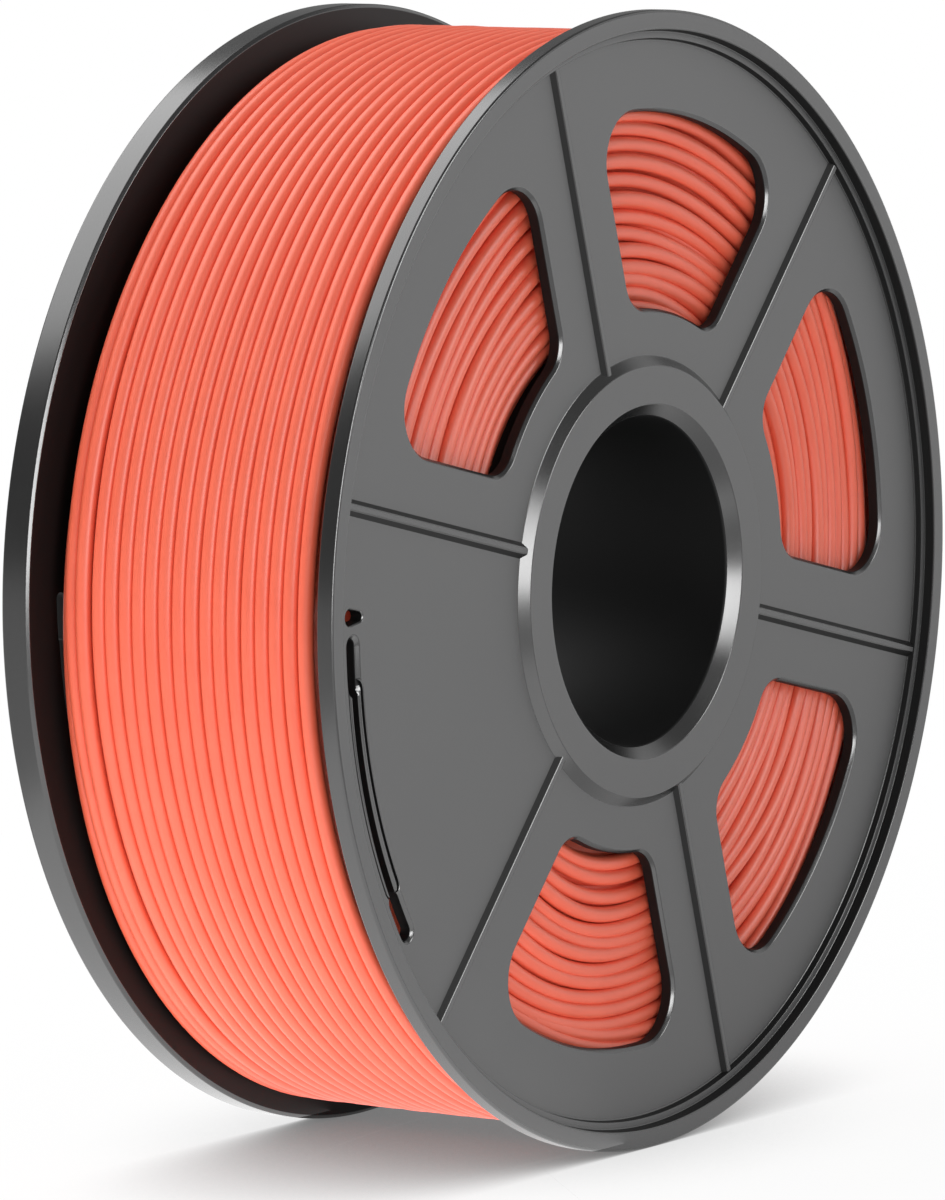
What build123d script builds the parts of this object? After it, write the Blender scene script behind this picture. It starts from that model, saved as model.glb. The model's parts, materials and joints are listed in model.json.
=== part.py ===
from build123d import *
from math import cos, pi, radians, sin, sqrt, tan
import os

# Filament spool, full size, in millimetres.
# The spool turns about the Y axis and +Z is up. The origin is the middle of the spool: on its
# axis, half way between the two rim faces. The front rim face looks along -Y.
# Two moulded halves meet inside the hub and hold one winding of filament between them.

# ---------------------------------------------------------------- spool as a whole
rim_radius = 100.0
spool_width = 68.0            # rim face to rim face
bore_radius = 29.0

# ---------------------------------------------------------------- rim, from the rim face inwards
rim_face_width = 3.5          # flat ring that the spool lies on
rim_wall_lean_width = 0.6     # each step of the inner wall leans in by this much
rim_ledge_depth = 2.1         # rim face down to the ledge
rim_ledge_width = 0.9
front_rim_band = 3.0          # full-diameter part of the front rim
front_band_relief = 3.5       # behind the band, the front flange narrows by this much
rear_rim_band = 5.0
rear_band_relief = 0.6

# ---------------------------------------------------------------- web and collar of each flange
web_recess = 3.1              # rim face down to the web
web_thickness = 2.4
collar_recess = 1.5           # rim face down to the collar face
collar_radius = 37.9
collar_slope = 1.7            # the collar spreads by this much on its way down to the web
mouth_bevel = 2.2             # bevel from the collar face into the bore

# ---------------------------------------------------------------- ribs and windows, six sectors
sectors = 6
plain_sector_angle = 197.5    # middle of the sector without a window, from +X towards +Z
rib_base_width = 2.4
rib_top_width = 1.0
rib_recess = 2.2              # rim face down to the top of a rib
window_rib_gap = 11.35        # rib centre line to the side of a window
window_inner_radius = 47.8
window_outer_radius = 82.2
window_outer_corner = 8.5
window_inner_corner = 6.0

# ---------------------------------------------------------------- filament clip and tail hole
# Angles are in degrees from the middle of the plain sector.
clip_radius = 89.7            # middle of the gripping slot
clip_width = 1.5
clip_start_angle = -15.6
clip_end_angle = 19.0
clip_eye_angle = 5.0
start_eye_radius = 89.2
end_eye_radius = 90.9
clip_eye_width = 4.0
clip_step_width = 4.2         # shallow step along the gripping slot
clip_step_depth = 0.8
tail_hole_angle = -18.5
tail_hole_radius = 89.1
tail_hole_length = 5.2
tail_hole_width = 2.4

# ---------------------------------------------------------------- hub
barrel_radius = 45.0
barrel_wall = 2.4
tube_wall = 2.4
stiffener_thickness = 1.6     # radial walls between the bore tube and the barrel
stiffener_setback = 1.0       # they stop this far short of the lap joint
lap_length = 3.0              # the front half's spigot reaches past the middle by this much
lap_clearance = 0.1

# ---------------------------------------------------------------- snap hooks inside the hub
hooks = 3
hook_offset = 3.2             # bore tube to the inside of a hook's arm
hook_width = 7.0
hook_thickness = 1.6
hook_reach = 10.0             # past the middle of the spool
hook_barb = 1.5
hook_barb_length = 2.8
catch_height = 3.0            # along the axis
catch_clearance = 0.25

# ---------------------------------------------------------------- winding
winding_radius = 96.4         # outside of the outer layer
turn_pitch = 2.79
strand_width = 2.35           # across the corners of the faceted strand
strand_sides = 4
strand_start_angle = -17       # degrees, so that the strand's corner looks outwards half way along
strand_bend = 2.6             # where an end turns down between the layers
strand_seat = 0.05            # strand to the layers under it
end_pocket_play = 0.3
winding_end_gap = 0.4         # winding to each flange
winding_hub_gap = 0.15
side_turn_depth = 1.2         # crest of a side turn down to the groove beside it
first_turn_angle = -75.0      # from +X towards +Z
gap_step = 1.5                # between the points that measure the least gap

# ---------------------------------------------------------------- worked out from the above
half_width = spool_width / 2
sector_angle = 360 / sectors
tube_radius = bore_radius + tube_wall
barrel_inside = barrel_radius - barrel_wall
web_front = half_width - web_recess
web_back = web_front - web_thickness
collar_face = half_width - collar_recess
collar_back = collar_face - web_thickness
wall_foot = (collar_back + web_front) / 2    # hub walls and hooks root here, inside the flange
rib_top = half_width - rib_recess
ledge_top = half_width - rim_ledge_depth
rim_inside = rim_radius - rim_face_width
ledge_outside = rim_inside - rim_wall_lean_width
ledge_inside = ledge_outside - rim_ledge_width
web_outside = ledge_inside - rim_wall_lean_width
strand_radius = winding_radius - strand_width / 2
core_inside = barrel_radius + winding_hub_gap
core_radius = strand_radius - strand_width / 2 - strand_seat
core_half_width = web_back - winding_end_gap


# ---------------------------------------------------------------- one moulded half
# A half is drawn with the spool's axis upright, its rim face up, the middle of the spool at
# height 0 and the middle of the plain sector on +X.
def half_outline(band, relief, socket):
    """Radius and height of every corner of one half. A socket of 0 makes the spigot half."""
    lap_radius = barrel_inside + barrel_wall / 2 + socket
    seam = socket
    if socket:
        step = socket + lap_length
    else:
        step = -lap_length
    return [
        (bore_radius, collar_face - mouth_bevel),
        (bore_radius + mouth_bevel, collar_face),
        (collar_radius, collar_face),
        (collar_radius + collar_slope, web_front),
        (web_outside, web_front),
        (ledge_inside, ledge_top),
        (ledge_outside, ledge_top),
        (rim_inside, half_width),
        (rim_radius, half_width),
        (rim_radius, half_width - band),
        (rim_radius - relief, web_back),
        (barrel_radius, web_back),
        (barrel_radius, seam),
        (lap_radius, seam),
        (lap_radius, step),
        (barrel_inside, step),
        (barrel_inside, web_back),
        (collar_radius + collar_slope - web_thickness / 2, web_back),
        (collar_radius - web_thickness / 2, collar_back),
        (tube_radius, collar_back),
        (tube_radius, seam),
        (bore_radius, seam),
    ]


def window_outline():
    """Window on +X: straight sides along the ribs, ends round the axis, rounded corners."""
    half_angle = radians(sector_angle / 2)
    apex = window_rib_gap / sin(half_angle)
    spread = (rim_radius - apex) * tan(half_angle)
    wedge = make_face(Polyline((apex, 0), (rim_radius, -spread), (rim_radius, spread), close=True))
    outline = wedge & (Circle(window_outer_radius) - Circle(window_inner_radius))
    corners = sorted(outline.vertices(), key=lambda v: Vector(v.X, v.Y).length)
    outline = fillet(corners[2:], window_outer_corner)
    corners = sorted(outline.vertices(), key=lambda v: Vector(v.X, v.Y).length)
    return fillet(corners[:2], window_inner_corner)


def window_cutter():
    """Block that a window takes out of the web."""
    return Pos(0, 0, web_back - web_thickness) * extrude(window_outline(), 3 * web_thickness)


def rib():
    """Rib along +X, from inside the collar to inside the rim wall, with leaning sides."""
    start = collar_radius - mouth_bevel / 2
    end = ledge_outside + rim_wall_lean_width / 2
    foot = web_front - web_thickness / 4
    rise = rib_top - web_front
    lean = (rib_base_width - rib_top_width) / 2
    foot_half = rib_base_width / 2 + lean * (web_front - foot) / rise
    top_half = rib_top_width / 2
    corners = [(-foot_half, foot), (foot_half, foot), (top_half, rib_top), (-top_half, rib_top)]
    section = make_face(Polyline(*corners, close=True))
    return extrude(Plane((start, 0, 0), x_dir=(0, 1, 0), z_dir=(1, 0, 0)) * section, end - start)


def arc_slot(radius, width, start, end):
    """Round-ended slot round the axis."""
    return SlotArc(CenterArc((0, 0), radius, start, end - start), width)


def clip_cutter():
    """Gripping slot with an eye at each end, the shallow step beside it, and the tail hole."""
    through = arc_slot(clip_radius, clip_width, clip_start_angle, clip_end_angle)
    through += arc_slot(start_eye_radius, clip_eye_width, clip_start_angle, clip_start_angle + clip_eye_angle)
    through += arc_slot(end_eye_radius, clip_eye_width, clip_end_angle - clip_eye_angle, clip_end_angle)
    tail = SlotOverall(tail_hole_length, tail_hole_width)
    through += Rot(0, 0, tail_hole_angle) * Pos(tail_hole_radius, 0) * tail
    step_start = clip_start_angle + clip_eye_angle
    step_end = clip_end_angle - clip_eye_angle
    step = arc_slot(clip_radius, clip_step_width, step_start, step_end)
    depth = 3 * web_thickness
    cutter = Pos(0, 0, web_back - web_thickness) * extrude(through, depth)
    return cutter + Pos(0, 0, web_front - clip_step_depth) * extrude(step, 2 * clip_step_depth)


def stiffener(low):
    """Wall along +X between the bore tube and the barrel, from the flange down to height low."""
    inside = tube_radius - tube_wall / 4
    outside = barrel_inside + barrel_wall / 4
    corner = (Align.MIN, Align.CENTER, Align.MIN)
    wall = Box(outside - inside, stiffener_thickness, wall_foot - low, align=corner)
    return Pos(inside, 0, low) * wall


def spool_half(band, relief, socket):
    """Revolved shell with its windows, clip, ribs and hub walls."""
    outline = half_outline(band, relief, socket)
    low = stiffener_setback
    if socket:
        low += lap_length
    half = revolve(make_face(Plane.XZ * Polyline(*outline, close=True)), Axis.Z)
    for k in range(sectors):
        half += Rot(0, 0, (k + 0.5) * sector_angle) * (rib() + stiffener(low))
    for k in range(1, sectors):
        half -= Rot(0, 0, k * sector_angle) * window_cutter()
    return half - clip_cutter()


def hook():
    """Snap hook along +X: an arm from the flange past the middle, with an outward barb."""
    inside = tube_radius + hook_offset
    outside = inside + hook_thickness
    tip = -hook_reach
    barb_top = tip + hook_barb_length
    side = [
        (inside, wall_foot),
        (inside, tip),
        (outside, tip),
        (outside + hook_barb, barb_top - hook_barb / 2),
        (outside + hook_barb, barb_top),
        (outside, barb_top),
        (outside, wall_foot),
    ]
    return extrude(make_face(Plane.XZ * Polyline(*side, close=True)), hook_width / 2, both=True)


def catch():
    """Block on the inside of the rear barrel that a barb snaps behind."""
    inside = tube_radius + hook_offset + hook_thickness + catch_clearance
    outside = barrel_inside + barrel_wall / 4
    low = hook_reach - hook_barb_length - catch_clearance - catch_height
    corner = (Align.MIN, Align.CENTER, Align.MIN)
    block = Box(outside - inside, hook_width, catch_height, align=corner)
    return Pos(inside, 0, low) * block


def front_placed(shape):
    """Rim face towards -Y, plain sector at its angle."""
    return Rot(90, 0, 0) * Rot(0, 0, plain_sector_angle) * shape


def rear_placed(shape):
    """Turned over: rim face towards +Y, plain sector behind the front half's."""
    return Rot(-90, 0, 0) * Rot(0, 0, -plain_sector_angle) * shape


# ---------------------------------------------------------------- winding
def round_spool(angle):
    """Unit vector away from the axis."""
    return Vector(cos(radians(angle)), 0, sin(radians(angle)))


def strand_point(angle, first_y):
    """Middle of the strand, angle degrees after its first turn starts."""
    return round_spool(first_turn_angle + angle) * strand_radius + Vector(
        0, first_y + turn_pitch * angle / 360, 0
    )


def strand_heading(angle):
    """Direction of the strand at that point."""
    turned = round_spool(first_turn_angle + angle + 90)
    return (turned * strand_radius + Vector(0, turn_pitch / (2 * pi), 0)).normalized()


def biarc(start, start_heading, end, end_heading):
    """Two arcs that leave start and reach end in the given directions."""
    chord = end - start
    both = start_heading + end_heading
    spread = 2 * (1 - start_heading.dot(end_heading))
    along = chord.dot(both)
    reach = (sqrt(along**2 + spread * chord.dot(chord)) - along) / spread
    near = start + start_heading * reach
    far = end - end_heading * reach
    joint = (near + far) * 0.5
    return [
        Edge.make_tangent_arc(start, start_heading, joint),
        Edge.make_tangent_arc(joint, (far - near).normalized(), end),
    ]


def dive(point, heading, angle):
    """Path from point, run along heading, that bends down towards the axis and ends straight."""
    down = round_spool(angle) * -1
    bottom = point + (heading + down) * strand_bend
    return [
        Edge.make_tangent_arc(point, heading, bottom),
        Edge.make_line(bottom, bottom + down * strand_width),
    ]


def strand_path():
    """The outer layer's turns, half a turn at a time, with both ends tucked under."""
    room = 2 * (core_half_width - strand_width / 2)
    half_turns = int(2 * room / turn_pitch)
    first_y = -half_turns * turn_pitch / 4
    last = 180 * half_turns
    turns = []
    for k in range(half_turns):
        a, b = 180 * k, 180 * (k + 1)
        turns += biarc(
            strand_point(a, first_y), strand_heading(a), strand_point(b, first_y), strand_heading(b)
        )
    ends = [(0, -1), (last, 1)]
    tails = [
        dive(strand_point(a, first_y), strand_heading(a) * way, first_turn_angle + a)
        for a, way in ends
    ]
    return Wire(tails[0] + turns + tails[1]), first_y, last


def inner_layers():
    """Winding under the outer layer. Its sides show one ridge a layer where the windows are."""
    side = [(core_inside, core_half_width - side_turn_depth)]
    for k in range(int((core_radius - core_inside) / turn_pitch)):
        foot = core_inside + k * turn_pitch
        if window_inner_radius < foot < window_outer_radius:
            side.append((foot, core_half_width - side_turn_depth))
            side.append((foot + turn_pitch / 2, core_half_width))
    side.append((core_radius, core_half_width))
    other_side = [(radius, -height) for radius, height in reversed(side)]
    outline = make_face(Plane.XZ * Polyline(*side, *other_side, close=True))
    return Rot(90, 0, 0) * revolve(outline, Axis.Z)


def end_pocket(y, angle, way):
    """Room in the core for a tucked end of the strand, which bends away from angle."""
    length = strand_bend + strand_width + 2 * end_pocket_play
    width = strand_width + 2 * end_pocket_play
    depth = strand_bend + strand_width + end_pocket_play
    slot = Box(length, width, 2 * depth)
    shift = way * (strand_bend / 2)
    frame = Plane(
        origin=round_spool(angle) * strand_radius + Vector(0, y, 0),
        x_dir=round_spool(angle + 90),
        z_dir=round_spool(angle),
    )
    return frame * Pos(shift, 0, 0) * slot


def least_gap(path):
    """Smallest clear distance between each turn and the next, measured from point to point."""
    points = []
    for edge in path.edges():
        count = round(edge.length / gap_step)
        points += edge.positions([k / count for k in range(count)])
    turn = round(2 * pi * strand_radius / gap_step)
    window = 4
    nearest = min(
        (points[j] - points[i]).length
        for i in range(len(points) - turn - window)
        for j in range(i + turn - window, i + turn + window)
    )
    return nearest - strand_width


# ---------------------------------------------------------------- build and write the pieces
def build():
    front = spool_half(front_rim_band, front_band_relief, 0)
    rear = spool_half(rear_rim_band, rear_band_relief, lap_clearance)
    for k in range(hooks):
        turn = k * 360 / hooks
        front += Rot(0, 0, turn) * hook()
        rear += Rot(0, 0, -turn) * catch()

    path, first_y, last = strand_path()
    start = path.position_at(0)
    inwards = round_spool(first_turn_angle)
    outline = RegularPolygon(strand_width / 2, strand_sides, rotation=strand_start_angle)
    section = Plane(start, x_dir=(0, -1, 0), z_dir=inwards) * outline
    strand = sweep(section, path=path)

    core = inner_layers()
    core -= end_pocket(first_y, first_turn_angle, -1)
    core -= end_pocket(-first_y, first_turn_angle + last, 1)

    print("outer layer: turns", last / 360, "strand length", round(path.length, 1))
    print("volume over section times length", round(strand.volume / section.area / path.length, 4))
    print("least gap between turns", round(least_gap(path), 3))
    return {
        "front_half": front_placed(front),
        "rear_half": rear_placed(rear),
        "filament_core": core,
        "filament_outer_layer": strand,
    }


os.makedirs("parts", exist_ok=True)
for name, shape in build().items():
    export_step(shape, f"parts/{name}.step")
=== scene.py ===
import json
import math

import bpy
import numpy as np
from mathutils import Matrix, Vector


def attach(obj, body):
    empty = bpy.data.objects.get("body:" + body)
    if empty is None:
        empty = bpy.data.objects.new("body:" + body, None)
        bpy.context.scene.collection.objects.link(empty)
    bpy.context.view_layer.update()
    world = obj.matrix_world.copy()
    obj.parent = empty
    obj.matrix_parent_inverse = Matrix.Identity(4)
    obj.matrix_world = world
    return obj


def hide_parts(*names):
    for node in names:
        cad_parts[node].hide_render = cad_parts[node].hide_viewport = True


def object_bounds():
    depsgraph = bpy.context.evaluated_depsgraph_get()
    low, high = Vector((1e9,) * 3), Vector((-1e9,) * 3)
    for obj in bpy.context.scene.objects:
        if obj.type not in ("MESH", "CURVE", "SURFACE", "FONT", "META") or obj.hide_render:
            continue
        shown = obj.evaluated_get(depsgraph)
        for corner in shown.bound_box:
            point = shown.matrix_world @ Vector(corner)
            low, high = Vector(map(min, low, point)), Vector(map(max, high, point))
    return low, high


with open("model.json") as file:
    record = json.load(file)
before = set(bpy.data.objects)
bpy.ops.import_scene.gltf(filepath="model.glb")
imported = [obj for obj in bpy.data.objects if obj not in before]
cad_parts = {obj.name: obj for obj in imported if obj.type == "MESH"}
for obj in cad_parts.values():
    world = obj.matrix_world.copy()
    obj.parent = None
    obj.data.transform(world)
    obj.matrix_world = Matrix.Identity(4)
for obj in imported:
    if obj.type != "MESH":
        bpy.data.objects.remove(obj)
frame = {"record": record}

cad_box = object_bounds()

# ---------------------------------------------------------------- camera
# Looks at the spool from the side of its front flange, a little above the middle, from far
# enough away that the two flanges look almost the same size. Lengths are in metres.
view_azimuth = math.radians(-56.45)
view_elevation = math.radians(5.97)
view_distance = 1.402
seen_half_height = 0.10642
aim_right = -0.00382
aim_up = -0.00505

back = Vector((
    math.sin(view_azimuth) * math.cos(view_elevation),
    -math.cos(view_azimuth) * math.cos(view_elevation),
    math.sin(view_elevation),
))
right = Vector((math.cos(view_azimuth), math.sin(view_azimuth), 0))
up = back.cross(right)
camera = bpy.data.objects.new("camera", bpy.data.cameras.new("camera"))
bpy.context.scene.collection.objects.link(camera)
camera.matrix_world = Matrix.Translation(
    back * view_distance + right * aim_right + up * aim_up
) @ Matrix((right, up, back)).transposed().to_4x4()
camera.data.lens = camera.data.sensor_width / 2 * view_distance / seen_half_height
camera.data.clip_end = 100
bpy.context.scene.camera = camera
bpy.context.scene.view_settings.view_transform = "Standard"


# ---------------------------------------------------------------- floor, world and lights
# A white table under the spool that fades to plain white further out, soft boxes on the left,
# in front, on the right and above, a card that lies on the table, and a grey room around them.
floor_height = cad_box[0][2]
floor_size = 60.0
floor_colour = "#f7f7f7"
floor_fade_start = 0.16      # distance from the spool's middle at which its shadow starts to fade
floor_fade_end = 0.42
# The floor's shadow is painted: its white is darkened by how much room is open above each spot.
floor_shadow_reach = 0.12
floor_shadow_samples = 24
floor_open_share = 0.68      # share of open room above a spot from which it is plain white
floor_darkest = 0.17         # where nothing above a spot is open
floor_plain_share = 0.95     # the rest of its look is what the lamps make of it
room_level = 0.28
# Boxes marked diffuse give the coral its level. Those marked glossy are only seen mirrored, and
# put the highlights on rims, slopes and lips. A brightness of 1 is white.
soft_boxes = [  # name, direction from the spool, distance, width, height, brightness, lights what
    ("left_box", (-0.72, -0.20, 0.66), 1.3, 1.2, 1.2, 0.6, "diffuse"),
    ("low_box", (-0.85, -0.50, 0.06), 1.2, 1.6, 0.5, 1.3, "diffuse"),
    ("edge_strip", (-0.55, -0.83, 0.12), 1.6, 0.5, 1.6, 13.0, "glossy"),
    ("front_box", (0.26, -0.87, 0.41), 1.4, 0.7, 0.7, 7.5, "glossy"),
    ("side_box", (0.83, -0.55, 0.0), 0.9, 1.6, 1.6, 0.70, "both"),
    ("back_box", (-0.10, 0.55, 0.80), 1.3, 1.4, 1.2, 3.3, "both"),
]
card_place = (-0.16, -0.05, -0.098)   # just above the floor, under the left side of the drum
card_side = 0.3
card_brightness = 1.0


def to_linear(hex_colour, alpha=1.0):
    """Linear colour of an sRGB hex value."""
    channels = [int(hex_colour[i:i + 2], 16) / 255 for i in (1, 3, 5)]
    linear = [c / 12.92 if c <= 0.04045 else ((c + 0.055) / 1.055) ** 2.4 for c in channels]
    return (*linear, alpha)


def add(tree, kind, links=None, **settings):
    """Adds a node with its properties. Its inputs get values, sockets, or nodes' first outputs."""
    node = tree.nodes.new(kind)
    for name, value in settings.items():
        setattr(node, name, value)
    for socket, value in (links or {}).items():
        if isinstance(value, bpy.types.Node):
            value = value.outputs[0]
        if isinstance(value, bpy.types.NodeSocket):
            tree.links.new(value, node.inputs[socket])
        else:
            node.inputs[socket].default_value = value
    return node


world = bpy.data.worlds.new("grey_studio")
world.use_nodes = True
bpy.context.scene.world = world
tree = world.node_tree
tree.nodes.clear()
room = add(tree, "ShaderNodeBackground", {"Color": to_linear("#ffffff"), "Strength": room_level})
add(tree, "ShaderNodeOutputWorld", {"Surface": room})

# White melamine laminate, pressed smooth: an even matt white that shows nothing but the shadow.
# Seen straight or mirrored it is plain white with a painted shadow, darker where the spool covers
# the room above it; the lamps make only a small share of what is seen.
table_surface = bpy.data.materials.new("white_laminate_table")
table_surface.use_nodes = True
tree = table_surface.node_tree
tree.nodes.clear()
place = add(tree, "ShaderNodeTexCoord")
from_middle = add(
    tree, "ShaderNodeVectorMath", {0: place.outputs["Object"]}, operation="LENGTH")
fade = add(tree, "ShaderNodeMapRange", {
    "Value": from_middle.outputs["Value"],
    "From Min": floor_fade_start, "From Max": floor_fade_end,
}, interpolation_type="SMOOTHSTEP")
cover = add(tree, "ShaderNodeAmbientOcclusion", {
    "Distance": floor_shadow_reach}, samples=floor_shadow_samples)
# Painted shadow: the occlusion test turned into the strength of the floor's plain white.
painted_shadow = add(tree, "ShaderNodeMapRange", {
    "Value": cover.outputs["AO"],
    "From Max": floor_open_share, "To Min": floor_darkest, "To Max": 1.0})
white = add(tree, "ShaderNodeMath", {0: painted_shadow, 1: fade}, operation="MAXIMUM")
ray = add(tree, "ShaderNodeLightPath")
mirrored = add(tree, "ShaderNodeMath", {
    0: ray.outputs["Is Glossy Ray"], 1: ray.outputs["Is Transmission Ray"]}, operation="MAXIMUM")
seen = add(tree, "ShaderNodeMath", {
    0: ray.outputs["Is Camera Ray"], 1: mirrored}, operation="MAXIMUM")
plain_share = add(tree, "ShaderNodeMath", {0: fade, 1: floor_plain_share}, operation="MAXIMUM")
share = add(tree, "ShaderNodeMath", {0: seen, 1: plain_share}, operation="MULTIPLY")
laminate = add(tree, "ShaderNodeBsdfDiffuse", {"Color": to_linear(floor_colour)})
plain = add(tree, "ShaderNodeEmission", {"Color": to_linear("#ffffff"), "Strength": white})
mixed = add(tree, "ShaderNodeMixShader", {0: share, 1: laminate, 2: plain})
add(tree, "ShaderNodeOutputMaterial", {"Surface": mixed})

floor_mesh = bpy.data.meshes.new("floor")
half = floor_size / 2
floor_mesh.from_pydata(
    [(-half, -half, floor_height), (half, -half, floor_height),
     (half, half, floor_height), (-half, half, floor_height)],
    [], [(0, 1, 2, 3)])
floor_mesh.materials.append(table_surface)
floor = bpy.data.objects.new("floor", floor_mesh)
bpy.context.scene.collection.objects.link(floor)


def area_lamp(name, width, height, brightness):
    """Rectangular lamp at the origin, with the power that gives it this brightness."""
    lamp = bpy.data.lights.new(name, "AREA")
    lamp.shape = "RECTANGLE"
    lamp.size = width
    lamp.size_y = height
    lamp.energy = brightness * math.pi * width * height
    item = bpy.data.objects.new(name, lamp)
    bpy.context.scene.collection.objects.link(item)
    return item


for name, direction, distance, width, height, brightness, lights in soft_boxes:
    box = area_lamp(name, width, height, brightness)
    towards = Vector(direction).normalized()
    box.location = towards * distance
    box.rotation_euler = towards.to_track_quat("Z", "Y").to_euler()
    box.visible_diffuse = lights != "glossy"
    box.visible_glossy = lights != "diffuse"

card = area_lamp("floor_card", card_side, card_side, card_brightness)
card.location = card_place
card.rotation_euler = (math.pi, 0, 0)
card.visible_camera = False


# ---------------------------------------------------------------- the two moulded halves
# Injection-moulded high-impact polystyrene in near black. Each half is a flange with its half
# of the hub; they are the same moulding turned over, apart from the rim and the lap joint, and
# snap together at the hub. Sizes are in millimetres from here on, from the spool's middle.
mm = 0.001
rim_radius = frame["record"]["size"]["bbox_m"][2] / 2 / mm
half_width = frame["record"]["size"]["bbox_m"][1] / 2 / mm
rim_face_width = 3.5
rim_wall_lean = 0.2
rim_ledge_depth = 1.9
rim_ledge_width = 1.3
front_rim_band, front_band_relief = 3.0, 3.5     # width of the rim's outer side, step behind it
rear_rim_band, rear_band_relief = 5.0, 0.6
web_recess = 3.1
web_thickness = 2.4
collar_recess = 1.5
collar_radius = 37.9
collar_slope = 1.7
mouth_bevel = 2.2
bore_radius = 29.0
barrel_radius = 45.0
hub_wall = 2.4
lap_length = 3.0
mouth_round, face_round, foot_round = 0.8, 0.35, 0.3
ledge_inner_round, ledge_outer_round = 0.15, 0.2
rim_edge_round, band_round, relief_round = 0.5, 0.4, 0.25
hub_round = 0.5
circle_steps = 360
plain_sector_angle = math.radians(197.5)         # middle of the sector without a window

web_front = half_width - web_recess
web_back = web_front - web_thickness
collar_face = half_width - collar_recess
hub_floor = collar_face - 2 * hub_wall


def rounded(corners, steps=4):
    """Outline through corners (x, y, radius), each rounded by its own radius."""
    points = []
    for k, (x, y, radius) in enumerate(corners):
        here = Vector((x, y))
        before = (Vector(corners[k - 1][:2]) - here).normalized()
        after = (Vector(corners[(k + 1) % len(corners)][:2]) - here).normalized()
        if radius == 0:
            points.append(here)
            continue
        half_turn = before.angle(after) / 2
        reach = radius / math.tan(half_turn)
        centre = here + (before + after).normalized() * radius / math.sin(half_turn)
        start = here + before * reach - centre
        end = here + after * reach - centre
        for i in range(steps + 1):
            points.append(centre + start.slerp(end, i / steps).normalized() * radius)
    return points


def lathe(outline):
    """Closed mesh of an outline (radius, height) turned round the Z axis."""
    profile = np.array([(p[0], p[1]) for p in outline])
    turn = np.arange(circle_steps) * 2 * math.pi / circle_steps
    vertices = np.stack([
        np.outer(np.cos(turn), profile[:, 0]), np.outer(np.sin(turn), profile[:, 0]),
        np.tile(profile[:, 1], (circle_steps, 1))], axis=-1).reshape(-1, 3)
    count = len(profile)
    faces = []
    for a in range(circle_steps):
        b = (a + 1) % circle_steps
        for i in range(count):
            j = (i + 1) % count
            faces.append((a * count + i, b * count + i, b * count + j, a * count + j))
    return vertices, faces


def half_outline(band, relief, spigot):
    """Section of one half, (radius, height above the middle of the spool)."""
    rim_inside = rim_radius - rim_face_width
    ledge_outside = rim_inside - rim_wall_lean
    ledge_inside = ledge_outside - rim_ledge_width
    ledge_top = half_width - rim_ledge_depth
    barrel_inside = barrel_radius - hub_wall
    joint = barrel_radius - hub_wall / 2
    return rounded([
        (bore_radius, 0, 0),
        (bore_radius, collar_face - mouth_bevel, mouth_round),
        (bore_radius + mouth_bevel, collar_face, face_round),
        (collar_radius, collar_face, foot_round),
        (collar_radius + collar_slope, web_front, foot_round),
        (ledge_inside - rim_wall_lean, web_front, foot_round),
        (ledge_inside, ledge_top, ledge_inner_round),
        (ledge_outside, ledge_top, ledge_outer_round),
        (rim_inside, half_width, face_round),
        (rim_radius, half_width, rim_edge_round),
        (rim_radius, half_width - band, band_round),
        (rim_radius - relief, web_back, relief_round),
        (barrel_radius, web_back, hub_round),
        (barrel_radius, 0, 0),
        (joint, 0, 0),
        (joint, spigot, 0),
        (barrel_inside, spigot, 0),
        (barrel_inside, hub_floor, hub_round),
        (bore_radius + hub_wall, hub_floor, hub_round),
        (bore_radius + hub_wall, 0, 0),
    ])[::-1]


# Six ribs, a window in every sector between them but one.
sector = 60                  # degrees
rib_base = 2.8
rib_top = 1.0
rib_recess = 2.2
rib_round = 0.45
rib_root = web_thickness / 4
rib_overlap = 1.0            # ribs start this far inside the collar
window_rib_gap = 11.35       # rib's centre line to the side of a window
window_inner = 47.8
window_outer = 82.2
window_inner_corner = 6.0
window_outer_corner = 8.5
window_lip = 0.7
cut_past = 1.0               # cutters run this far past the surfaces


def arc(centre, radius, start, end, steps):
    """Points on an arc, angles in radians."""
    return [(centre[0] + radius * math.cos(start + (end - start) * i / steps),
             centre[1] + radius * math.sin(start + (end - start) * i / steps))
            for i in range(steps + 1)]


def stacked(rings):
    """Closed mesh through rings of as many points each, capped at both ends."""
    count = len(rings[0])
    vertices = [p for ring in rings for p in ring]
    faces = [tuple(range(count))[::-1], tuple(range((len(rings) - 1) * count, len(vertices)))]
    for a in range(len(rings) - 1):
        for i in range(count):
            j = (i + 1) % count
            faces.append((a * count + i, a * count + j, (a + 1) * count + j, (a + 1) * count + i))
    return vertices, faces


def rib(turn):
    """Rib on the web that runs from inside the collar to inside the rim wall."""
    foot = web_front - rib_root
    crest = half_width - rib_recess
    section = rounded([
        (-rib_base / 2, foot, 0), (rib_base / 2, foot, 0), (rib_base / 2, web_front, 0),
        (rib_top / 2, crest, rib_round), (-rib_top / 2, crest, rib_round),
        (-rib_base / 2, web_front, 0)])
    start = collar_radius - rib_overlap
    end = rim_radius - rim_face_width - rim_wall_lean / 2
    spin = Matrix.Rotation(turn, 2)
    return stacked([[(*(spin @ Vector((x, across))), height) for across, height in section]
                    for x in (start, end)])


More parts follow.
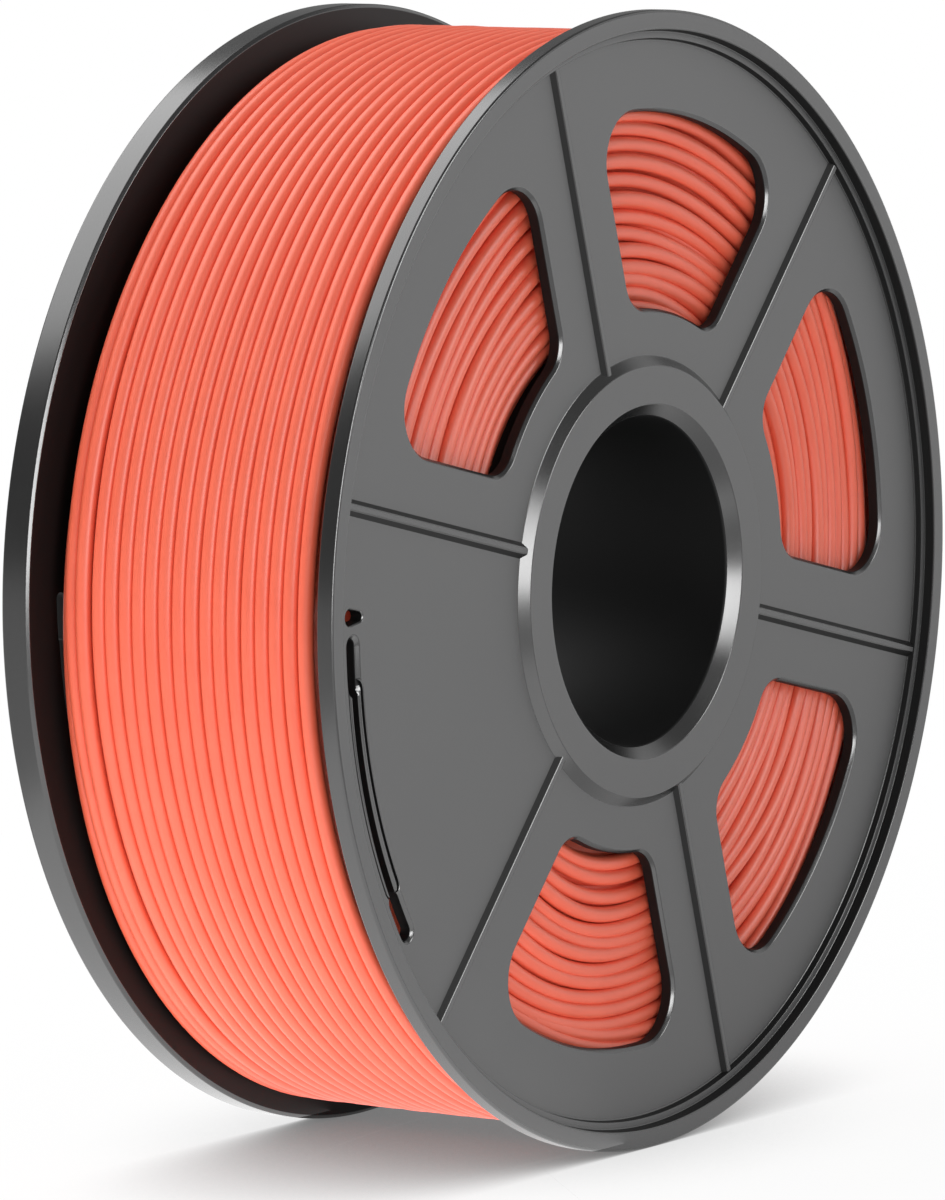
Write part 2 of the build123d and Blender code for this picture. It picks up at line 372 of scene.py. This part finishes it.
def window_outline(grow):
    """Window on +X, grown outwards on every side."""
    rib_side = math.radians(sector / 2)
    into = Vector((math.sin(rib_side), -math.cos(rib_side)))
    along = Vector((math.cos(rib_side), math.sin(rib_side)))
    corners = []
    for corner, ring in ((window_outer_corner, window_outer - window_outer_corner),
                         (window_inner_corner, window_inner + window_inner_corner)):
        off = window_rib_gap + corner
        corners.append(into * off + along * math.sqrt(ring ** 2 - off ** 2))
    outer, inner = corners
    outer_turn = math.atan2(outer.y, outer.x)
    inner_turn = math.atan2(inner.y, inner.x)
    side = math.radians(90 + sector / 2)
    upper = arc((0, 0), window_outer + grow, 0, outer_turn, 14)
    upper += arc(outer, window_outer_corner + grow, outer_turn, side, 12)[1:]
    upper += arc(inner, window_inner_corner + grow, side, inner_turn + math.pi, 10)
    upper += arc((0, 0), window_inner - grow, inner_turn, 0, 8)[1:]
    return upper + [(x, -y) for x, y in upper[-2:0:-1]]


def lip_steps(lip):
    """Rounded chamfer as (rise, spread) pairs: round, then flat, then round."""
    bend = 0.4 * lip
    flat = lip - bend
    steps = [(bend * math.sin(a), bend * (1 - math.cos(a)))
             for a in (0, math.pi / 8, math.pi / 4)]
    steps += [(flat + bend * math.sin(a), flat + bend * (1 - math.cos(a)))
              for a in (math.pi / 4, math.pi * 3 / 8, math.pi / 2)]
    return steps


def opening(outline, turn, low, lip, top):
    """Cutter that follows outline(grow), with a chamfered lip at the surface, top."""
    levels = [(low, 0)] + [(top - lip + rise, spread) for rise, spread in lip_steps(lip)]
    levels.append((top + cut_past, lip))
    spin = Matrix.Rotation(turn, 2)
    return stacked([[(*(spin @ Vector(p)), height) for p in outline(grow)]
                    for height, grow in levels])


# The filament clip in the plain sector: a bead in a shallow groove, with a slot in it that ends
# in a hook at one end and an eye at the other. Beside it is the hole that the tail is put into.
# Slots: radius, width, start and end in degrees, how far they move outwards on the way.
clip_groove = (89.5, 4.3, -10.5, 12.5, 0.7)
clip_groove_depth = 0.6
clip_groove_lip = 0.15
clip_bead = (89.65, 3.4, -10.5, 12.6, 0.7)
clip_bead_root = 1.2
clip_bead_round = 0.4
clip_hook, clip_hook_lip = (89.45, 2.4, -15.4, -11.0, 0.0), 0.9
clip_slot, clip_slot_lip = (89.8, 1.7, -12.0, 17.0, 1.2), 0.35
clip_eye_radius, clip_eye_start, clip_eye_end, clip_eye_rise = 90.4, 14.2, 18.4, 0.3
clip_eye_lip = 0.7
front_eye_width, rear_eye_width = 2.9, 2.2
tail_hole_angle = math.radians(-18.5)
tail_hole_wide = (90.2, 1.35)     # place from the axis, radius
tail_hole_narrow = (87.4, 0.85)
tail_hole_waist = math.pi * 0.55
tail_hole_lip = 0.3


def slot_outline(grow, radius, width, start, end, rise, steps=40):
    """Round-ended slot round the axis that moves outwards by rise, grown on every side."""
    a, b = math.radians(start), math.radians(end)
    r = width / 2 + grow
    outer_side, inner_side = [], []
    for i in range(steps + 1):
        share = i / steps
        turn = a + (b - a) * share
        middle = radius + rise * (share - 0.5)
        outer_side.append(((middle + r) * math.cos(turn), (middle + r) * math.sin(turn)))
        inner_side.append(((middle - r) * math.cos(turn), (middle - r) * math.sin(turn)))
    first = ((radius - rise / 2) * math.cos(a), (radius - rise / 2) * math.sin(a))
    last = ((radius + rise / 2) * math.cos(b), (radius + rise / 2) * math.sin(b))
    return (outer_side + arc(last, r, b, b + math.pi, 10)[1:-1]
            + inner_side[::-1] + arc(first, r, a + math.pi, a + 2 * math.pi, 10)[1:-1])


def tail_hole_outline(grow):
    """Pear-shaped hole, wide outside and narrow inside, grown on every side."""
    (far, wide), (near, narrow) = tail_hole_wide, tail_hole_narrow
    points = arc((far, 0), wide + grow, -tail_hole_waist, tail_hole_waist, 14)
    points += arc((near, 0), narrow + grow, tail_hole_waist, 2 * math.pi - tail_hole_waist, 10)
    spin = Matrix.Rotation(tail_hole_angle, 2)
    return [tuple(spin @ Vector(p)) for p in points]


def pad(outline, low, edge, top):
    """Raised pad that follows outline(grow), with a rounded edge."""
    levels = [(low, 0)] + [(top - edge + edge * math.sin(a), edge * (math.cos(a) - 1))
                           for a in (0, math.pi / 8, math.pi / 4, math.pi * 3 / 8, math.pi / 2)]
    return stacked([[(*p, height) for p in outline(grow)] for height, grow in levels])


def mesh_object(name, pieces):
    """Object made of one or more (vertices, faces), in millimetres."""
    mesh = bpy.data.meshes.new(name)
    vertices, faces = [], []
    for points, polygons in pieces:
        base = len(vertices)
        vertices += [tuple(p) for p in points]
        faces += [tuple(base + i for i in polygon) for polygon in polygons]
    mesh.from_pydata(vertices, [], faces)
    mesh.update()
    item = bpy.data.objects.new(name, mesh)
    bpy.context.scene.collection.objects.link(item)
    return item


def plain_mesh(item):
    """Gives an object the mesh that its modifiers make, and takes them off."""
    bpy.context.view_layer.update()
    made = item.evaluated_get(bpy.context.evaluated_depsgraph_get())
    mesh = bpy.data.meshes.new_from_object(made)
    item.modifiers.clear()
    item.data = mesh


def combine(item, cutter, operation):
    """Applies one exact boolean and deletes the cutter."""
    modifier = item.modifiers.new(operation, "BOOLEAN")
    modifier.operation = operation
    modifier.solver = "EXACT"
    modifier.object = cutter
    plain_mesh(item)
    bpy.data.objects.remove(cutter)


def moulding(name, band, relief, spigot, eye_width):
    """One half with its ribs, windows, filament clip and tail hole, rim face up."""
    shell = mesh_object(name, [lathe(half_outline(band, relief, spigot))])
    ribs = [rib(math.radians(sector * (k + 0.5))) for k in range(6)]
    combine(shell, mesh_object("ribs", ribs), "UNION")

    low = web_back - cut_past
    holes = [opening(window_outline, math.radians(sector * k), low, window_lip, web_front)
             for k in range(1, 6)]
    holes.append(opening(tail_hole_outline, 0, low, tail_hole_lip, web_front))
    combine(shell, mesh_object("windows", holes), "DIFFERENCE")

    groove = opening(lambda grow: slot_outline(grow, *clip_groove), 0,
                     web_front - clip_groove_depth, clip_groove_lip, web_front)
    combine(shell, mesh_object("clip_groove", [groove]), "DIFFERENCE")
    bead = pad(lambda grow: slot_outline(grow, *clip_bead),
               web_front - clip_bead_root, clip_bead_round, web_front)
    combine(shell, mesh_object("clip_bead", [bead]), "UNION")
    clip_eye = (clip_eye_radius, eye_width, clip_eye_start, clip_eye_end, clip_eye_rise)
    for size, lip in (
            (clip_hook, clip_hook_lip), (clip_slot, clip_slot_lip), (clip_eye, clip_eye_lip)):
        cut = opening(lambda grow: slot_outline(grow, *size), 0, low, lip, web_front)
        combine(shell, mesh_object("clip_slot", [cut]), "DIFFERENCE")
    return shell


# One plastic with three finishes, partly from its steel mould and partly painted light. Satin: the
# outer faces come from a spark-eroded surface, whose fine grain scatters light to an even dark
# grey;
# their colour is lighter than the plastic's black, a painted sheen. Polished: rims, lips and
# slopes come from bare polished steel, near black with sharp highlights. Matt: the inner and steep
# sides are dragged along the mould when it opens and turn a dull black; their colour and shine are
# darker still, as painted shade.
# The real grain is about 0.05 mm; its specks are drawn as coarse as they need to show.
tone_size = 14.0             # of the faint clouds in colour and gloss
speck_size = 0.45
speck_depth = 0.02
gloss_spread = 0.02
polystyrene_ior = 1.59
finishes = (  # name, darkest and lightest colour, roughness, shine, strength of the specks
    ("satin_and_painted_sheen", "#333334", "#393939", 0.52, 0.7, 0.25),
    ("polished", "#0e0e0e", "#131313", 0.24, 0.7, 0.03),
    ("matt_and_painted_shade", "#080808", "#0c0c0c", 0.55, 0.18, 0.30),
)
polystyrene = []
for finish, dark, light, roughness, shine, grain in finishes:
    plastic = bpy.data.materials.new(f"moulded_polystyrene_{finish}")
    plastic.use_nodes = True
    tree = plastic.node_tree
    tree.nodes.clear()
    place = add(tree, "ShaderNodeTexCoord")
    clouds = add(tree, "ShaderNodeTexNoise", {
        "Vector": place.outputs["Object"], "Scale": 1 / (tone_size * mm), "Detail": 3.0})
    tone = add(tree, "ShaderNodeMix", {
        0: clouds, 6: to_linear(dark), 7: to_linear(light)}, data_type="RGBA")
    specks = add(tree, "ShaderNodeTexNoise", {
        "Vector": place.outputs["Object"], "Scale": 1 / (speck_size * mm), "Detail": 2.0})
    dull = add(tree, "ShaderNodeMapRange", {
        "Value": clouds,
        "To Min": roughness - gloss_spread, "To Max": roughness + gloss_spread})
    relief = add(tree, "ShaderNodeBump", {
        "Height": specks, "Strength": grain, "Distance": speck_depth * mm})
    surface = add(tree, "ShaderNodeBsdfPrincipled", {
        "Base Color": tone.outputs[2], "Roughness": dull, "Normal": relief,
        "IOR": polystyrene_ior, "Specular IOR Level": shine})
    add(tree, "ShaderNodeOutputMaterial", {"Surface": surface})
    polystyrene.append(plastic)
satin_and_painted_sheen, polished, matt_and_painted_shade = range(3)

# Which finish a face has follows from how it lies: how much it faces outwards, where 1 is level,
# how high it is, and how far from the axis. Level outer faces get the painted sheen, and steep and
# inner sides the painted shade.
level_face = 0.995
steep_above_web = 0.76       # sides of the ribs and the rim wall
steep_below_web = 0.4        # sides of the windows, the clip and the tail hole
face_play = 0.05
side_play = 0.02
inner_depth = 0.4            # the inner side starts this far below the web's face
rim_margin = 2.0
band_margin = 0.5
sharp_edge = math.radians(35)

for node, band, relief, spigot, eye_width, way in (
        ("front_half", front_rim_band, front_band_relief, -lap_length, front_eye_width, 1),
        ("rear_half", rear_rim_band, rear_band_relief, lap_length, rear_eye_width, -1)):
    piece = moulding(node.replace("_half", "_moulding"), band, relief, spigot, eye_width)
    mesh = piece.data
    for plastic in polystyrene:
        mesh.materials.append(plastic)
    for polygon in mesh.polygons:
        level, height = polygon.normal.z, polygon.center.z
        reach = polygon.center.xy.length
        inner_side = height < web_front - inner_depth and reach < rim_radius - relief - band_margin
        steepest = steep_above_web if height > web_front + side_play else steep_below_web
        on_web = collar_radius + collar_slope < reach < rim_radius - rim_margin
        # Level outer faces: painted sheen. Inner sides and steep sides on the web: painted shade.
        if level > level_face and height > web_front - face_play:
            polygon.material_index = satin_and_painted_sheen
        elif inner_side or (on_web and level < steepest):
            polygon.material_index = matt_and_painted_shade
        else:
            polygon.material_index = polished
    facing = Matrix.Rotation(way * math.pi / 2, 4, "X")
    mesh.transform(facing @ Matrix.Rotation(way * plain_sector_angle, 4, "Z")
                   @ Matrix.Scale(mm, 4))
    mesh.shade_smooth()
    mesh.set_sharp_from_angle(angle=sharp_edge)
    weighted = piece.modifiers.new("weighted", "WEIGHTED_NORMAL")
    weighted.keep_sharp = True
    plain_mesh(piece)
    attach(piece, "root")
    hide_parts(node)


# ---------------------------------------------------------------- outer turns
# One strand of coral PLA, 2.85 mm class, wound by machine at a steady pull: 19 turns side by
# side, with both ends tucked under. The last turns stand a little apart and sink into the gap
# that the layers under them leave beside the rear flange.
strand_width = 2.76
turn_pitch = 2.79
winding_radius = 96.4
flange_gap = 0.15
first_turn_angle = math.radians(-75)
turns = 19.0
front_spread, rear_spread = 0.5, 0.4              # more room than the turns need
outer_gap = 0.9              # between the last turns and the rest
outer_gap_turns = 2.4
outer_wander = (0.3 * mm, 0.9 * mm, 0.0)          # outwards and along the axis, turns together
outer_own_wander = (0.3 * mm, 0.4 * mm, 0.0)      # the same, each turn by itself
outer_waves = 1.2
tuck_depth = 3.2
tuck_turns = 0.03
outer_shoulder_depth = 6.3
outer_shoulder_turns = 2.6
outer_shoulder_angle = math.radians(140)

winding_half = web_back - flange_gap
front_end = -turns / 2 * turn_pitch - front_spread
rear_end = turns / 2 * turn_pitch + rear_spread
outer_step = (rear_end - outer_gap - front_end) / turns

# PLA drawn through a round die and cooled in water: an even, slightly clouded plastic with a
# soft shine that runs along each turn. The die's marks are about 0.05 mm; its specks are drawn
# as coarse as they need to show.
cloud_size = 9.0
die_mark_size = 0.5
die_mark_depth = 0.03
die_mark_strength = 0.15
filament_roughness = 0.42
filament_shine = 0.5
pla_ior = 1.46
filament = bpy.data.materials.new("extruded_pla_coral")
filament.use_nodes = True
tree = filament.node_tree
tree.nodes.clear()
place = add(tree, "ShaderNodeTexCoord")
clouds = add(tree, "ShaderNodeTexNoise", {
    "Vector": place.outputs["Object"], "Scale": 1 / (cloud_size * mm), "Detail": 2.0})
tone = add(tree, "ShaderNodeMix", {
    0: clouds, 6: to_linear("#ec6448"), 7: to_linear("#f26e52")}, data_type="RGBA")
specks = add(tree, "ShaderNodeTexNoise", {
    "Vector": place.outputs["Object"], "Scale": 1 / (die_mark_size * mm), "Detail": 2.0})
relief = add(tree, "ShaderNodeBump", {
    "Height": specks, "Strength": die_mark_strength, "Distance": die_mark_depth * mm})
surface = add(tree, "ShaderNodeBsdfPrincipled", {
    "Base Color": tone.outputs[2], "Roughness": filament_roughness, "IOR": pla_ior,
    "Specular IOR Level": filament_shine, "Normal": relief})
add(tree, "ShaderNodeOutputMaterial", {"Surface": surface})


def winding_tree():
    """Strand wound round the Y axis: points on a spiral, moved by noise, then made a tube."""
    tree = bpy.data.node_groups.new("wound_strand", "GeometryNodeTree")
    tree.interface.new_socket("Geometry", in_out="OUTPUT", socket_type="NodeSocketGeometry")
    for label, kind in (
            ("Turns", "Float"), ("Steps", "Int"), ("Sides", "Int"), ("Thickness", "Float"),
            ("Start angle", "Float"), ("Start radius", "Float"), ("Radius per turn", "Float"),
            ("Start y", "Float"), ("Y per turn", "Float"), ("Waves", "Float"),
            ("Shared wander", "Vector"), ("Own wander", "Vector"), ("Seed", "Float"),
            ("Tuck depth", "Float"), ("Tuck turns", "Float"), ("Shoulder depth", "Float"),
            ("Shoulder turns", "Float"), ("Shoulder angle", "Float"), ("Gap", "Float"),
            ("Gap turns", "Float"), ("Material", "Material")):
        tree.interface.new_socket(label, in_out="INPUT", socket_type=f"NodeSocket{kind}")
    given = add(tree, "NodeGroupInput").outputs

    index = add(tree, "GeometryNodeInputIndex")
    turn = add(tree, "ShaderNodeMath", {0: index, 1: given["Steps"]}, operation="DIVIDE")
    angle = add(tree, "ShaderNodeMath", {0: turn, 1: 2 * math.pi}, operation="MULTIPLY")
    angle = add(tree, "ShaderNodeMath", {0: angle, 1: given["Start angle"]}, operation="ADD")
    east = add(tree, "ShaderNodeMath", {0: angle}, operation="COSINE")
    north = add(tree, "ShaderNodeMath", {0: angle}, operation="SINE")

    # Noise read round a circle: a slow drift from turn to turn for the wander that turns share,
    # a fast one, from another part of the noise, for each turn's own.
    noise_x = add(tree, "ShaderNodeMath", {0: east, 1: given["Waves"]}, operation="MULTIPLY")
    noise_y = add(tree, "ShaderNodeMath", {0: north, 1: given["Waves"]}, operation="MULTIPLY")
    wanders = []
    for spread, drift, elsewhere in (("Shared wander", 0.13, 0.0), ("Own wander", 2.37, 40.0)):
        drifted = add(tree, "ShaderNodeMath", {0: turn, 1: drift}, operation="MULTIPLY")
        seed = add(tree, "ShaderNodeMath", {0: given["Seed"], 1: elsewhere}, operation="ADD")
        noise_z = add(tree, "ShaderNodeMath", {0: drifted, 1: seed}, operation="ADD")
        where = add(tree, "ShaderNodeCombineXYZ", {0: noise_x, 1: noise_y, 2: noise_z})
        noise = add(tree, "ShaderNodeTexNoise", {"Vector": where, "Scale": 1.0, "Detail": 0.0})
        centred = add(tree, "ShaderNodeVectorMath", {
            0: noise.outputs["Color"], 1: (0.5, 0.5, 0.5)}, operation="SUBTRACT")
        wanders.append(add(
            tree, "ShaderNodeVectorMath", {0: centred, 1: given[spread]}, operation="MULTIPLY"))
    wander = add(tree, "ShaderNodeVectorMath", dict(enumerate(wanders)), operation="ADD")
    outwards, sideways, _ = add(tree, "ShaderNodeSeparateXYZ", {0: wander}).outputs

    # Both ends dip under the turns beside them.
    left = add(tree, "ShaderNodeMath", {0: given["Turns"], 1: turn}, operation="SUBTRACT")
    from_end = add(tree, "ShaderNodeMath", {0: turn, 1: left}, operation="MINIMUM")
    tucked = add(tree, "ShaderNodeMapRange", {
        "Value": from_end, "From Max": given["Tuck turns"],
        "To Min": given["Tuck depth"], "To Max": 0.0}, interpolation_type="SMOOTHSTEP")

    # The last turns sink, the last one most and near the shoulder's angle, and stand apart.
    sink_growth, sink_focus, gap_ease = 2.0, 3.0, 0.2
    sinking = add(tree, "ShaderNodeMapRange", {
        "Value": left, "From Max": given["Shoulder turns"],
        "To Min": 1.0, "To Max": 0.0}, interpolation_type="SMOOTHSTEP")
    sinking = add(tree, "ShaderNodeMath", {0: sinking, 1: sink_growth}, operation="POWER")
    facing = add(
        tree, "ShaderNodeMath", {0: angle, 1: given["Shoulder angle"]}, operation="SUBTRACT")
    facing = add(tree, "ShaderNodeMath", {0: facing}, operation="COSINE")
    facing = add(tree, "ShaderNodeMath", {0: facing, 1: 0.5, 2: 0.5}, operation="MULTIPLY_ADD")
    facing = add(tree, "ShaderNodeMath", {0: facing, 1: sink_focus}, operation="POWER")
    sunk = add(tree, "ShaderNodeMath", {0: sinking, 1: facing}, operation="MULTIPLY")
    sunk = add(
        tree, "ShaderNodeMath", {0: sunk, 1: given["Shoulder depth"]}, operation="MULTIPLY")
    gap_end = add(tree, "ShaderNodeMath", {0: given["Gap turns"], 1: gap_ease}, operation="ADD")
    gap_start = add(
        tree, "ShaderNodeMath", {0: given["Gap turns"], 1: gap_ease}, operation="SUBTRACT")
    apart = add(tree, "ShaderNodeMapRange", {
        "Value": left, "From Min": gap_start, "From Max": gap_end,
        "To Min": given["Gap"], "To Max": 0.0}, interpolation_type="SMOOTHSTEP")

    # Each point's distance from the axis and place along it, then the tube through the points.
    radius = add(
        tree, "ShaderNodeMath", {0: turn, 1: given["Radius per turn"]}, operation="MULTIPLY")
    radius = add(tree, "ShaderNodeMath", {0: given["Start radius"], 1: radius}, operation="ADD")
    radius = add(tree, "ShaderNodeMath", {0: radius, 1: outwards}, operation="ADD")
    radius = add(tree, "ShaderNodeMath", {0: radius, 1: tucked}, operation="SUBTRACT")
    radius = add(tree, "ShaderNodeMath", {0: radius, 1: sunk}, operation="SUBTRACT")
    along = add(tree, "ShaderNodeMath", {0: turn, 1: given["Y per turn"]}, operation="MULTIPLY")
    along = add(tree, "ShaderNodeMath", {0: along, 1: apart}, operation="ADD")
    along = add(tree, "ShaderNodeMath", {0: given["Start y"], 1: along}, operation="ADD")
    along = add(tree, "ShaderNodeMath", {0: along, 1: sideways}, operation="ADD")
    x = add(tree, "ShaderNodeMath", {0: east, 1: radius}, operation="MULTIPLY")
    z = add(tree, "ShaderNodeMath", {0: north, 1: radius}, operation="MULTIPLY")
    position = add(tree, "ShaderNodeCombineXYZ", {0: x, 1: along, 2: z})
    steps = add(
        tree, "ShaderNodeMath", {0: given["Turns"], 1: given["Steps"]}, operation="MULTIPLY")
    points = add(tree, "ShaderNodeMath", {0: steps, 1: 1}, operation="ADD")
    line = add(tree, "GeometryNodeMeshLine", {"Count": points, "Offset": (0, 0, 0)})
    placed = add(tree, "GeometryNodeSetPosition", {"Geometry": line, "Position": position})
    path = add(tree, "GeometryNodeMeshToCurve", {"Mesh": placed})
    ring_radius = add(
        tree, "ShaderNodeMath", {0: given["Thickness"], 1: 0.5}, operation="MULTIPLY")
    ring = add(tree, "GeometryNodeCurvePrimitiveCircle", {
        "Resolution": given["Sides"], "Radius": ring_radius})
    tube = add(tree, "GeometryNodeCurveToMesh", {
        "Curve": path, "Profile Curve": ring, "Fill Caps": True})
    smooth = add(tree, "GeometryNodeSetShadeSmooth", {"Geometry": tube})
    real = add(tree, "GeometryNodeRealizeInstances", {"Geometry": smooth})
    dressed = add(tree, "GeometryNodeSetMaterial", {
        "Geometry": real, "Material": given["Material"]})
    add(tree, "NodeGroupOutput", {"Geometry": dressed})
    return tree


wound_strand = winding_tree()


def wind(name, **inputs):
    """Piece made by the winding tree with these inputs, in metres, as a plain mesh."""
    item = bpy.data.objects.new(name, bpy.data.meshes.new(name))
    bpy.context.scene.collection.objects.link(item)
    modifier = item.modifiers.new("winding", "NODES")
    modifier.node_group = wound_strand
    inputs = {"thickness": strand_width * mm, "material": filament, **inputs}
    for socket in wound_strand.interface.items_tree:
        if socket.in_out == "INPUT":
            modifier[socket.identifier] = inputs[socket.name.lower().replace(" ", "_")]
    plain_mesh(item)
    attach(item, "root")
    return item


outer = wind(
    "outer_turns", turns=turns, steps=180, sides=16, start_angle=first_turn_angle,
    start_radius=(winding_radius - strand_width / 2) * mm, radius_per_turn=0.0,
    start_y=front_end * mm, y_per_turn=outer_step * mm,
    waves=outer_waves, shared_wander=outer_wander, own_wander=outer_own_wander, seed=3.0,
    tuck_depth=tuck_depth * mm, tuck_turns=tuck_turns,
    shoulder_depth=outer_shoulder_depth * mm, shoulder_turns=outer_shoulder_turns,
    shoulder_angle=outer_shoulder_angle, gap=outer_gap * mm, gap_turns=outer_gap_turns)
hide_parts("filament_outer_layer")


# ---------------------------------------------------------------- turns at the flanges
# The turns of every layer where they meet the flanges, as the windows show them: the strand
# turns back there from one layer to the next, so the rows cross and wander. A second row lies
# behind the first and fills what it leaves open.
layers = 14.0
layer_step = 2.72
row_hub_gap = 0.7
row_flange_gap = 0.6
row_wander = (5.0 * mm, 0.6 * mm, 0.0)
row_own_wander = (2.2 * mm, 2.4 * mm, 0.0)
row_waves = 1.1
row_start_angle = 0.3
row_shoulder_depth = 6.5
row_shoulder_turns = 3.2
second_row_depth = 1.7
second_row_rise = 0.8        # outwards, as a share of its depth
for side, way in (("front", -1), ("rear", 1)):
    for row, depth in (("turns", 0.0), ("under_turns", second_row_depth)):
        start_radius = barrel_radius + strand_width / 2 + row_hub_gap + depth * second_row_rise
        start_y = way * (winding_half - strand_width / 2 - row_flange_gap - depth)
        rows = wind(
            f"{side}_side_{row}", turns=layers - depth, steps=150, sides=12,
            start_angle=row_start_angle + way + 2 * depth,
            start_radius=start_radius * mm, radius_per_turn=layer_step * mm,
            start_y=start_y * mm, y_per_turn=0.0,
            waves=row_waves, shared_wander=row_wander, own_wander=row_own_wander,
            seed=11.0 + way, tuck_depth=0.0, tuck_turns=0.01,
            shoulder_depth=row_shoulder_depth * mm, shoulder_turns=row_shoulder_turns,
            shoulder_angle=plain_sector_angle, gap=0.0, gap_turns=1.0)


# ---------------------------------------------------------------- turns inside the winding
# The layers between the hub and the turns that show: one closed body of the same strand, wound
# tight. It falls off at both flanges, where the outer layers sink in, more at the front.
core_gap = 0.1               # to the hub and to the outer turns
core_depth = 3.4             # behind the turns at the flanges
core_round = 1.2
front_shoulder, front_shoulder_width = 12.0, 9.0
rear_shoulder, rear_shoulder_width = 7.5, 5.5

core_radius = winding_radius - strand_width - core_gap
core_half = winding_half - core_depth
core_outline = rounded([
    (barrel_radius + core_gap, -core_half, 0),
    (core_radius - rear_shoulder, -core_half, core_round),
    (core_radius, rear_shoulder_width - core_half, core_round),
    (core_radius, core_half - front_shoulder_width, core_round),
    (core_radius - front_shoulder, core_half, core_round),
    (barrel_radius + core_gap, core_half, 0)])
core = mesh_object("inner_turns", [lathe(core_outline)])
core.data.transform(Matrix.Rotation(math.pi / 2, 4, "X") @ Matrix.Scale(mm, 4))
core.data.materials.append(filament)
core.data.shade_smooth()
core.data.set_sharp_from_angle(angle=sharp_edge)
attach(core, "root")
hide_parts("filament_core")
